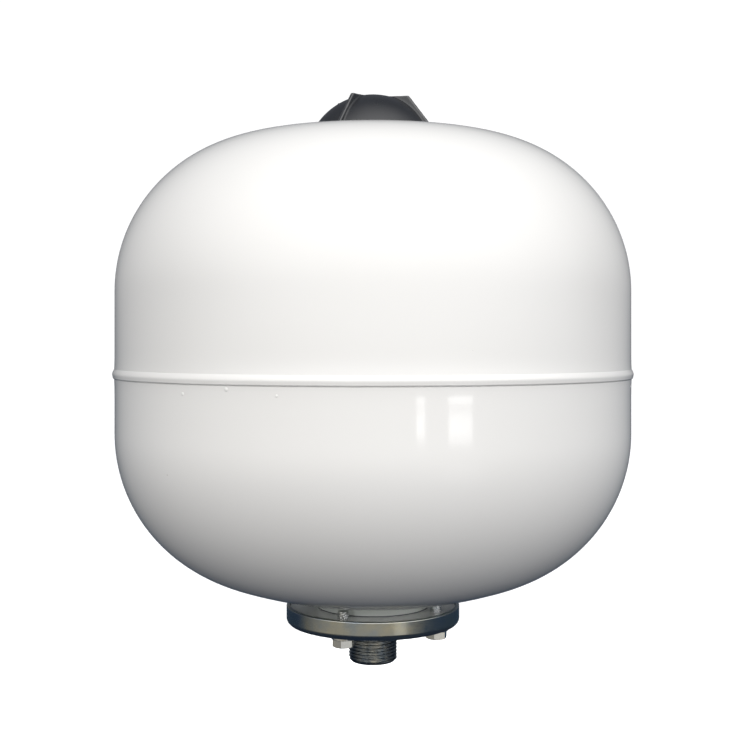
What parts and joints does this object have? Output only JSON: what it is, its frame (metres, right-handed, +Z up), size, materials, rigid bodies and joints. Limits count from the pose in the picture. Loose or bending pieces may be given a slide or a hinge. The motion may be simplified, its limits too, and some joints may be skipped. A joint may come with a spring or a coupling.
{
  "type": "expansion vessel",
  "caption": "Round white steel expansion vessel with a rubber membrane, a bolted counter flange with a male pipe connection below, and a gas valve under a finned black cover on top.",
  "frame": {"origin": "centre of the pipe nipple's lower end face, on the vessel's axis", "axes": "+Z up along the vessel's axis, from the pipe connection to the gas valve"},
  "size_m": [0.3536, 0.3536, 0.3903],
  "materials": {
    "white_paint": "gloss white powder coat",
    "bare_steel": "plain mild steel",
    "zinc_plate": "zinc plate, satin",
    "nipple_steel": "zinc plate, dull, cut thread",
    "bolt_zinc": "bright zinc plate",
    "membrane_rubber": "matt moulded rubber",
    "seal_rubber": "matt rubber",
    "valve_brass": "turned brass",
    "spring_steel": "drawn wire",
    "cap_plastic": "moulded plastic",
    "black_plastic": "satin moulded plastic"
  },
  "bodies": {
    "tank": {"upper_shell": "white_paint", "lower_shell": "white_paint", "seam_weld": "white_paint", "neck_ring": "white_paint", "neck_weld": "bare_steel", "counter_flange": "zinc_plate", "pipe_nipple": "nipple_steel", "nipple_weld": "bare_steel", "flange_bolts": "bolt_zinc", "flange_washers": "bolt_zinc", "membrane": "membrane_rubber", "valve_bush": "bare_steel", "bush_weld": "white_paint", "valve_stem": "valve_brass", "stem_o_ring": "seal_rubber", "valve_core_body": "valve_brass", "valve_core_gasket": "seal_rubber", "valve_core_spring": "spring_steel"},
    "cover": {"valve_cover": "black_plastic"},
    "cap_seal": {"dust_cap_seal": "seal_rubber"},
    "cap": {"dust_cap": "cap_plastic"},
    "core_pin": {"valve_core_pin": "valve_brass"}
  },
  "joints": [
    {"name": "cover_lift", "type": "slide", "parent": "tank", "child": "cover", "axis": [0, 0, 1], "range_m": [0, 0.04]},
    {"name": "cap_rise", "type": "slide", "parent": "tank", "child": "cap_seal", "axis": [0, 0, 1], "range_m": [0, 0.00556]},
    {"name": "cap_turn", "type": "hinge", "parent": "cap_seal", "child": "cap", "pos_m": [0, 0, 0.377], "axis": [0, 0, 1], "range_deg": [0, 2520]},
    {"name": "pin_press", "type": "slide", "parent": "tank", "child": "core_pin", "axis": [0, 0, -1], "range_m": [0, 0.0012], "stiffness_N_per_m": 300, "springref_m": -0.002, "deforming": ["valve_core_spring"]}
  ],
  "couplings": [
    {"joint": "cap_turn", "follows": "cap_rise", "rad_per_m": 7913.3}
  ]
}
